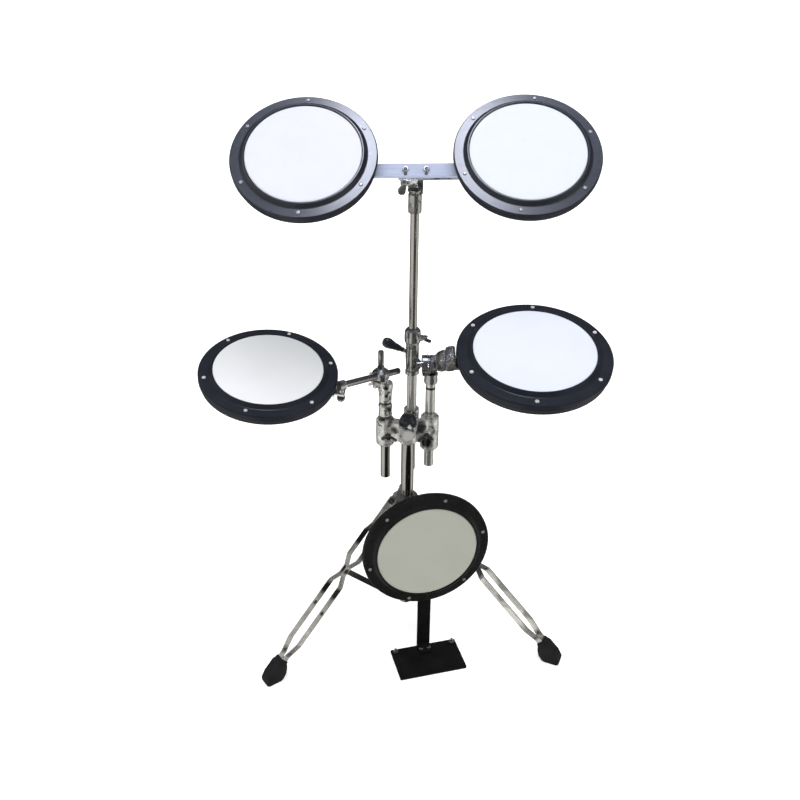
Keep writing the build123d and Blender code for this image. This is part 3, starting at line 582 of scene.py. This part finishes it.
# ------------------------------------------------------------------ CAD nodes keep their shape
DARK = {"left_rod_clamp", "height_clamp", "right_tilter_base", "upper_collar",
        "lower_collar", "height_wing_bolt", "upper_collar_wing_bolt", "hub_wing_bolt_left",
        "hub_wing_bolt_right", "tilter_base"}


def look(n):
    if n.startswith("leg_"):
        return LEGM[n[4:]]
    if n.startswith("strut_"):
        return STRUTM[n[6:]]
    if n.startswith("foot_"):
        return RUBBER
    if n.endswith("_rim"):
        return RIM_TOPS[n[:-4]] if n.startswith("top_") else RIM_BASS if n == "bass_rim" else RIM
    if n.endswith("_shell"):
        return SHELL
    if n in ("bass_plate", "bass_post"):
        return PLATE
    if n in ("right_bracket", "right_tilter_arm"):
        return HATCH
    if n == "top_bar":
        return BAR
    if n in ("hub_wing_bolt_left", "hub_wing_bolt_right", "upper_collar_wing_bolt"):
        return BOLT_DK
    if n in DARK:
        return CAST_DK
    if n.endswith("_screws"):
        return SCREW_TOP if n.startswith("top_") else SCREW_BASS if n.startswith("bass_") else SCREW
    if n == "bass_spurs" or "bolt" in n:
        return BOLT
    if n == "upper_tube":
        return TUBE_UP
    if n == "right_arm_tube":
        return TUBE_RT
    if n == "column_tube":
        return TUBE_LIT
    if n == "hub_casting":
        return HUB
    if n == "left_arm_clamp":
        return CAST_L
    if n in ("left_rod", "right_arm_rod"):
        return TUBE_DK
    if n.endswith("tube"):
        return TUBE
    return CAST


for n, ob in nodes.items():
    ob.data.materials.clear()
    ob.data.materials.append(look(n))
    if n.endswith("_screws"):
        continue
    bv = ob.modifiers.new("edge_round", "BEVEL")
    bv.width = 0.0005 if n.endswith(("_rim", "_shell")) or n in ("hub_casting", "bass_plate", "top_bar") \
        else 0.0003
    bv.segments = 2
    bv.limit_method = "ANGLE"
    bv.angle_limit = rad(32)
    bv.harden_normals = False
    ob.data.materials.append(edge_of(look(n)))     # worn edges: the bevelled strips only
    bv.material = 1

# ------------------------------------------------------------------ playing heads
for name, (pl, body, roll) in PADS.items():
    prof = [(0, 0.55)]
    for i in range(1, 33):
        r = 97.0 * i / 32
        prof.append((r, 0.55 * (1 - (r / 97.0) ** 2)))
    prof += [(98.4, -0.14), (99.3, -0.5), (99.75, -1.2), (99.8, -2.4), (99.8, -4.1), (102.8, -4.2),
             (103.0, -12), (102.0, -21.6), (60, -21.8), (0, -21.8)]
    v, f = lathe_data(prof, pl, 128)
    hd = make(name + "_skin", v, f, HEADM[name], sharp=50)
    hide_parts(name + "_head")
    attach(hd, body)

# ------------------------------------------------------------------ ribbed rubber feet
def foot_outline():
    slope = []
    a, b = (319.0, 46.0), (338.0, 27.0)
    n = 9
    for i in range(n + 1):
        u = i / n
        d = 0.9 if i % 2 else -0.1
        slope.append((a[0] + (b[0] - a[0]) * u + d * 0.707, a[1] + (b[1] - a[1]) * u + d * 0.707))
    pts = [(300, 34), (304, 41), (309, 46.6), (314, 47.4)] + slope + \
          [(344, 18), (347.6, 11), (347.4, 6), (346.5, 2.5), (343, 0), (317, 0), (311, 2), (306, 9),
           (303, 14), (300.6, 24)]
    return pts


LEG_UP = 79.0 + 2 * 166.9 * math.cos(rad(45))
OUT = foot_outline()
FC = (324.0, 20.0)
for k, az in LEG_AZ.items():
    r, t = radial(az)
    mf = plane((0, 0, 0), r.cross(ZV), r)              # x outward, y up, z across
    rings = [(-12.5, 0.93), (-11.9, 0.975), (-10.6, 1.0), (-7.4, 1.0), (-7.0, 0.985), (-6.2, 0.985),
             (-5.8, 1.0), (5.8, 1.0), (6.2, 0.985), (7.0, 0.985), (7.4, 1.0), (10.6, 1.0),
             (11.9, 0.975), (12.5, 0.93)]
    verts, faces = [], []
    n = len(OUT)
    for z, sc in rings:
        for x, y in OUT:
            verts.append(mf @ Vector((FC[0] + (x - FC[0]) * sc, max(0.0, FC[1] + (y - FC[1]) * sc)
                                      if y > 0.01 else (0.0 if sc > 0.99 else 0.6 * (1 - sc) * 10), z)))
    for i in range(len(rings) - 1):
        for j in range(n):
            j2 = (j + 1) % n
            faces.append((i * n + j, i * n + j2, (i + 1) * n + j2, (i + 1) * n + j))
    faces.append(tuple(range(n)))
    faces.append(tuple(range((len(rings) - 1) * n, len(rings) * n)))
    ft = make("foot_ribbed_" + k, verts, faces, RUBBER, sharp=34)
    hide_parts("foot_" + k)
    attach(ft, "leg_" + k)
    # lip of the socket the two strips go into
    dn_ = (r * math.sin(rad(45)) - ZV * math.cos(rad(45)))
    top_ = r * 34.0 + ZV * LEG_UP
    ml = plane(top_ + dn_ * 385.0, dn_, t)             # z down the leg, x across the strips
    vv, ff = [], []
    for (hx_, hy_), z in (((9.0, 6.6), 3.0), ((9.0, 6.6), -3.2), ((9.8, 7.4), -4.0), ((11.0, 8.4), -3.4),
                          ((11.6, 9.0), -1.5), ((11.4, 9.0), 4.0)):
        loop = []
        for qx, qy in ((1, 1), (-1, 1), (-1, -1), (1, -1)):
            for m_ in range(5):
                a_ = math.pi / 2 * ([(1, 1), (-1, 1), (-1, -1), (1, -1)].index((qx, qy)) + m_ / 4)
                loop.append(((hx_ - 2) * qx + 2 * math.cos(a_), (hy_ - 2) * qy + 2 * math.sin(a_)))
        base = len(vv)
        for x, y in loop:
            vv.append(ml @ Vector((x, y, z)))
        if base:
            c_ = len(loop)
            for j in range(c_):
                ff.append((base - c_ + j, base - c_ + (j + 1) % c_, base + (j + 1) % c_, base + j))
    lip = make("foot_lip_" + k, vv, ff, RUBBER, sharp=40)
    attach(lip, "leg_" + k)

# ------------------------------------------------------------------ clamping lever
EAR = Vector((2.0, 71.0, 600.0))
LD = Vector((-0.90, 0, 0.436)).normalized()
LO = EAR + Vector((0, 11, 0))
YV = Vector((0, 1, 0))
hub = join_data([lathe_data([(0, 5.3), (6.4, 5.3), (7.0, 5.9), (7.0, 9.0), (6.5, 9.4), (6.5, 11.6), (7.0, 12.0),
                             (7.0, 15.0), (6.2, 16.0), (3.4, 16.0), (3.2, 14.8), (0, 14.8)],
                            plane(EAR, YV, ZV), 48),
                 lathe_data([(0, 0), (3.2, 0), (3.2, 7), (0, 7)], plane(EAR, YV, ZV), 32),
                 lathe_data([(0, 0), (4.0, 0), (4.0, 20), (3.6, 26), (0, 26)], plane(LO, LD, YV), 40)])
lv = make("lever_arm", *hub, CAST, sharp=40)
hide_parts("column_lever")
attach(lv, "lever")
gp = [(0, 14), (4.3, 14), (4.9, 14.8), (5.0, 18), (4.5, 18.6), (4.7, 19.4), (5.6, 21), (6.4, 27), (7.4, 34), (8.7, 39),
      (9.9, 43), (10.4, 48), (9.9, 51), (9.2, 53.4), (8.0, 55.6), (6.4, 57.2), (4.4, 58.2), (2.6, 58.8), (0, 59)]
gr = make("lever_grip", *lathe_data(gp, plane(LO, LD, YV), 64), GRIP, sharp=40)
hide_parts("column_lever")
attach(gr, "lever")
# bright cast tongue let into the underside of the grip
tongue = []
low = LD.cross(YV)
low = low if low.z < 0 else -low
mt = plane(LO, LD, low)
vv, ff = [], []
for i in range(15):
    z = 10.0 + 44.0 * i / 14
    rr = 4.2
    for (r0, z0), (r1, z1) in zip(gp[4:], gp[5:]):
        if z0 <= z <= z1 and z1 > z0:
            rr = r0 + (r1 - r0) * (z - z0) / (z1 - z0)
    w = 2.3 if i not in (0, 14) else 1.0
    for q in range(7):
        a_ = (q - 3) / 3 * (w / max(rr, 1))
        vv.append(mt @ Vector(((rr + 0.35) * math.cos(a_), (rr + 0.35) * math.sin(a_), z)))
    for q in range(7):
        a_ = (3 - q) / 3 * (w / max(rr, 1))
        vv.append(mt @ Vector(((rr - 1.2) * math.cos(a_), (rr - 1.2) * math.sin(a_), z)))
    if i:
        b0, b1 = (i - 1) * 14, i * 14
        for q in range(14):
            ff.append((b0 + q, b0 + (q + 1) % 14, b1 + (q + 1) % 14, b1 + q))
ff.append(tuple(range(14)))
ff.append(tuple(range(14 * 14, 15 * 14)))
tg = make("lever_tongue", vv, ff, TUBE, sharp=40)
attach(tg, "lever")


# ------------------------------------------------------------------ knobs, caps, ratchets, ribs
def fluted(profile, m, teeth, depth, seg_per=6, sharp=True):
    """A lathe whose outer wall is cut by flutes: profile rows are (r, z, share of the flutes)."""
    seg = teeth * seg_per
    verts, faces, rings = [], [], []
    for r, z, share in profile:
        if r < 1e-6:
            rings.append([len(verts)])
            verts.append(m @ Vector((0, 0, z)))
            continue
        base = len(verts)
        rings.append(list(range(base, base + seg)))
        for q in range(seg):
            a_ = 2 * math.pi * q / seg
            wv = 0.5 - 0.5 * math.cos(teeth * a_)
            rr = r - depth * share * (wv if not sharp else wv ** 0.6)
            verts.append(m @ Vector((rr * math.cos(a_), rr * math.sin(a_), z)))
    for a, b in zip(rings, rings[1:]):
        for q in range(seg):
            q2 = (q + 1) % seg
            if len(a) == 1:
                faces.append((a[0], b[q], b[q2]))
            elif len(b) == 1:
                faces.append((a[q], b[0], a[q2]))
            else:
                faces.append((a[q], b[q], b[q2], a[q2]))
    return verts, faces


lp_m = PADS["left"][0]
lz = Vector(lp_m.col[2][:3]).normalized()
lx_ = Vector(lp_m.col[0][:3]).normalized()
qa = rad(-7)
kc = lp_m @ Vector((135.5 * math.cos(qa), 135.5 * math.sin(qa), 0)) * 1000 - SH
mk_ = plane(kc, lz, lx_)
kn = make("left_thumb_knob", *fluted([(0, -49.6, 0), (4.6, -49.6, 0), (6.4, -48.8, 0.6), (7.5, -46.8, 1),
                                      (7.5, -40.6, 1), (6.9, -39.0, 0.8), (5.4, -38.2, 0), (5.3, -34.3, 0),
                                      (0, -34.3, 0)], mk_, 14, 0.9), GRIP, sharp=38)
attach(kn, "left_pad")

for nm, c, z0, ri, bd in (("left_arm_plug", (-44.5, 14), 358.0, 7.85, "left_arm"),
                          ("right_arm_plug", (42.5, 16), 385.0, 7.85, "right_arm"),
                          ("base_plug", (0, 0), 50.0, 10.85, "stand")):
    mp_ = plane((c[0], c[1], z0), ZV, (1, 0, 0))
    pr = [(0, -1.0), (ri - 2.4, -1.0), (ri - 1.0, -0.6), (ri, 0.4), (ri, 5.0), (ri - 1.4, 5.6), (0, 5.6)]
    pg = make(nm, *lathe_data(pr, mp_, 48), GRIP, sharp=40)
    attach(pg, bd)

RH = Vector((38.5, 16.0, 607.5))
pr_, body_r, _ = PADS["right"]
TGT = (pr_ @ Vector((-146.0, 0, -20.0))) * 1000 - SH
RD = (TGT - RH).normalized()
RA = Vector((RD.x, RD.y, 0)).normalized().cross(ZV).normalized()
for nm, z0, z1, bd in (("right_ratchet_arm", -2.6, 0.6, "right_tilter"), ("right_ratchet_base", 1.1, 4.3, "right_arm")):
    mr = plane(RH, RA, ZV)
    rows = [(16.4, z0, 0), (18.5, z0 + 0.5, 1), (18.5, z1 - 0.3, 1), (16.4, z1, 0)]
    rt_ = make(nm, *fluted(rows, mr, 40, 1.1), CAST, sharp=30)
    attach(rt_, bd)

# moulded rings and ribs on the back of each shell
for name, (pl, body, roll) in PADS.items():
    parts_ = []
    for r0 in (26.0, 52.0, 78.0):
        parts_.append(lathe_data([(r0, -29.9), (r0 + 0.4, -31.0), (r0 + 2.2, -31.0), (r0 + 2.6, -29.9)], pl, 96))
    for q in range(6):
        a_ = rad(30 + 60 * q + roll)
        ux, uy = math.cos(a_), math.sin(a_)
        vv = []
        for rr in (27.5, 79.0):
            for w, z in ((-1.2, -29.9), (-0.8, -31.0), (0.8, -31.0), (1.2, -29.9)):
                vv.append(pl @ Vector((rr * ux - w * uy, rr * uy + w * ux, z)))
        parts_.append((vv, [(0, 1, 5, 4), (1, 2, 6, 5), (2, 3, 7, 6), (0, 1, 2, 3), (4, 5, 6, 7), (0, 3, 7, 4)]))
    rb_ = make(name + "_back_ribs", *join_data(parts_), SHELL, sharp=40)
    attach(rb_, body)

# two small dark discs at each of the two bar bolts, one on its head and one beside it
BOLT_X, BOLT_Y = (-17.5, 18.0), -14.5
for i_ in range(2):
    sock = []
    for dy, z, rr in ((BOLT_Y - 1.2, -24.9, 2.7), (BOLT_Y - 8.6, -29.9, 2.9)):
        mm = plane(TOP_O + XD * BOLT_X[i_] + YTOP * dy + NTOP * z, NTOP, XD)
        sock.append(lathe_data([(0, -0.6), (rr, -0.6), (rr, 0.25), (rr - 0.5, 0.5), (rr - 1.0, 0.1),
                                (0.8, -0.1), (0, 0.1)], mm, 28))
    so = make("bar_bolt_dark_discs_" + "ab"[i_], *join_data(sock), GRIP, sharp=40)
    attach(so, "bar")

# ------------------------------------------------------------------ camera
p, rl = rad(27.798), rad(0.5866)
fw = Vector((0, math.cos(p), -math.sin(p)))
up0 = Vector((0, math.sin(p), math.cos(p)))
rt = Vector((math.cos(rl), 0, 0)) + up0 * math.sin(rl)
up = Vector((-math.sin(rl), 0, 0)) + up0 * math.cos(rl)
CAMLOC = (Vector((-16.1, -1530.0, 1344.5)) + SH) / 1000
cam_d = bpy.data.cameras.new("camera")
cam_d.sensor_width = 36.0
cam_d.lens = 40.5
cam_d.clip_start = 0.05
cam_d.clip_end = 200
cam = bpy.data.objects.new("camera", cam_d)
cam.matrix_world = Matrix(((rt.x, up.x, -fw.x, CAMLOC.x), (rt.y, up.y, -fw.y, CAMLOC.y),
                           (rt.z, up.z, -fw.z, CAMLOC.z), (0, 0, 0, 1)))
scene.collection.objects.link(cam)
scene.camera = cam

# ------------------------------------------------------------------ floor, light and reflections
scene.view_settings.view_transform = "Standard"
fm = Mat("floor_white", spec=0.1, rough=0.9)
fm.color(fm.ramp(fm.noise(3.0, 2), [(0.3, (0.935, 0.935, 0.935)), (0.7, (0.95, 0.95, 0.95))]))
s = 42.0
fm.p.inputs["Emission Color"].default_value = (1, 1, 1, 1)
fm.p.inputs["Emission Strength"].default_value = 0.40
floor = make("floor", [(-s, -s, -0.0006), (s, -s, -0.0006), (s, s, -0.0006), (-s, s, -0.0006)],
             [(0, 1, 2, 3)], fm.m)
floor.visible_glossy = False


def shell_sphere(name, r, centre, mat):
    me = bpy.data.meshes.new(name)
    bm = bmesh.new()
    bmesh.ops.create_uvsphere(bm, u_segments=48, v_segments=24, radius=r)
    bm.to_mesh(me)
    bm.free()
    me.materials.append(mat)
    ob = bpy.data.objects.new(name, me)
    ob.location = centre
    scene.collection.objects.link(ob)
    ob.visible_diffuse = ob.visible_transmission = ob.visible_volume_scatter = ob.visible_shadow = False
    return ob


def emitter(name):
    m = bpy.data.materials.new(name)
    m.use_nodes = True
    t = m.node_tree
    t.nodes.clear()
    em = t.nodes.new("ShaderNodeEmission")
    out = t.nodes.new("ShaderNodeOutputMaterial")
    t.links.new(em.outputs[0], out.inputs["Surface"])
    return m, t, em


# pale backdrop, seen only directly
bm_, bt, be = emitter("backdrop_pale")
be.inputs["Color"].default_value = (1, 1, 1, 1)
be.inputs["Strength"].default_value = 1.0
back = shell_sphere("backdrop", 50.0, (0, 0, 0), bm_)
back.visible_glossy = False

# what shines in the metal and the gloss: soft boxes and flags round the studio
dm, dt, de = emitter("studio_reflections")


def dn(kind, **kw):
    n = dt.nodes.new(kind)
    for k, v in kw.items():
        setattr(n, k, v)
    return n


def dmath(op, a, b=None):
    n = dn("ShaderNodeMath", operation=op)
    for sck, v in zip(n.inputs, (a, b)):
        if v is None:
            continue
        if isinstance(v, (int, float)):
            sck.default_value = v
        else:
            dt.links.new(v, sck)
    return n.outputs[0]


def dmap(v, a, b, c, d):
    n = dn("ShaderNodeMapRange", interpolation_type="SMOOTHSTEP")
    for k, q in (("From Min", a), ("From Max", b), ("To Min", c), ("To Max", d)):
        n.inputs[k].default_value = q
    dt.links.new(v, n.inputs["Value"])
    return n.outputs["Result"]


def dramp(v, stops):
    r = dn("ShaderNodeValToRGB")
    el = r.color_ramp.elements
    while len(el) < len(stops):
        el.new(0.5)
    for e_, (q, c) in zip(el, stops):
        e_.position = q
        e_.color = (*c, 1.0)
    dt.links.new(v, r.inputs["Fac"])
    return r.outputs["Color"]


def dmix(f, a, b):
    n = dn("ShaderNodeMix", data_type="RGBA")
    dt.links.new(f, n.inputs["Factor"])
    ins = [q for q in n.inputs if q.type == "RGBA"]
    for sck, v in zip(ins, (a, b)):
        if isinstance(v, tuple):
            sck.default_value = (*v, 1.0)
        else:
            dt.links.new(v, sck)
    return [q for q in n.outputs if q.type == "RGBA"][0]


dtc = dn("ShaderNodeTexCoord")
nrm_ = dn("ShaderNodeVectorMath", operation="NORMALIZE")
dt.links.new(dtc.outputs["Object"], nrm_.inputs[0])
sp = dn("ShaderNodeSeparateXYZ")
dt.links.new(nrm_.outputs[0], sp.inputs[0])
dx, dy, dz = sp.outputs
az01 = dmath("ADD", dmath("MULTIPLY", dmath("ARCTAN2", dx, dmath("MULTIPLY", dy, -1.0)),
                          0.5 / math.pi), 0.5)


def deg(*stops):
    return [((a + 180) / 360, tuple(v * c for c in (1.0, 0.985, 0.95))) for a, v in stops]


low = dramp(az01, deg((-180, 0.10), (-128, 0.10), (-104, 0.55), (-60, 0.86), (-22, 0.80), (-6, 0.10),
                      (48, 0.07), (62, 0.75), (104, 0.80), (126, 0.12), (180, 0.10)))
mid = dramp(az01, deg((-180, 0.09), (-120, 0.12), (-95, 0.75), (-60, 0.70), (-45, 0.10), (-5, 0.08),
                      (20, 0.10), (40, 0.55), (75, 0.65), (90, 0.12), (180, 0.09)))
body_ = dmix(dmap(dz, -0.14, 0.06, 0.0, 1.0), low, mid)
body_ = dmix(dmap(dz, 0.30, 0.75, 0.0, 1.0), body_, (0.16, 0.17, 0.19))
zone = dmath("MULTIPLY", dmap(dz, 0.86, 0.94, 0.0, 1.0), dmap(dy, 0.20, 0.34, 1.0, 0.0))
body_ = dmix(zone, body_, (0.60, 0.70, 0.92))
ax = dmath("ABSOLUTE", dx)
patch = dmath("MULTIPLY", dmath("MULTIPLY", dmap(ax, 0.045, 0.135, 1.0, 0.0),
                                dmap(dy, -0.30, -0.10, 0.0, 1.0)),
              dmath("MULTIPLY", dmap(dy, 0.08, 0.20, 1.0, 0.0), dmap(dz, 0.90, 0.95, 0.0, 1.0)))
body_ = dmix(patch, body_, (17.4, 18.1, 21.6))
dt.links.new(body_, de.inputs["Color"])
de.inputs["Strength"].default_value = 1.0
refl = shell_sphere("reflections", 12.0, (0, 0, 0.6), dm)
refl.visible_camera = False

world = bpy.data.worlds.new("studio")
scene.world = world
world.use_nodes = True
wt = world.node_tree
bg = wt.nodes["Background"]
tc = wt.nodes.new("ShaderNodeTexCoord")
sep = wt.nodes.new("ShaderNodeSeparateXYZ")
wt.links.new(tc.outputs["Generated"], sep.inputs[0])
rp = wt.nodes.new("ShaderNodeValToRGB")
el = rp.color_ramp.elements
el[0].position, el[0].color = 0.0, (0.14, 0.14, 0.14, 1)
el[1].position, el[1].color = 1.0, (0.80, 0.81, 0.84, 1)
e = el.new(0.30)
e.color = (0.22, 0.22, 0.23, 1)
e = el.new(0.65)
e.color = (0.60, 0.61, 0.63, 1)
wt.links.new(sep.outputs[2], rp.inputs["Fac"])
wt.links.new(rp.outputs["Color"], bg.inputs["Color"])
bg.inputs["Strength"].default_value = 1.0

sd = bpy.data.lights.new("soft_sun", "SUN")
sd.energy = 2.15
sd.angle = rad(75)
sd.color = (1.0, 1.0, 1.0)
sun = bpy.data.objects.new("soft_sun", sd)
sun.rotation_euler = (Vector((0.05, 0.20, -1.0))).to_track_quat("-Z", "Y").to_euler()
sun.visible_glossy = False
scene.collection.objects.link(sun)
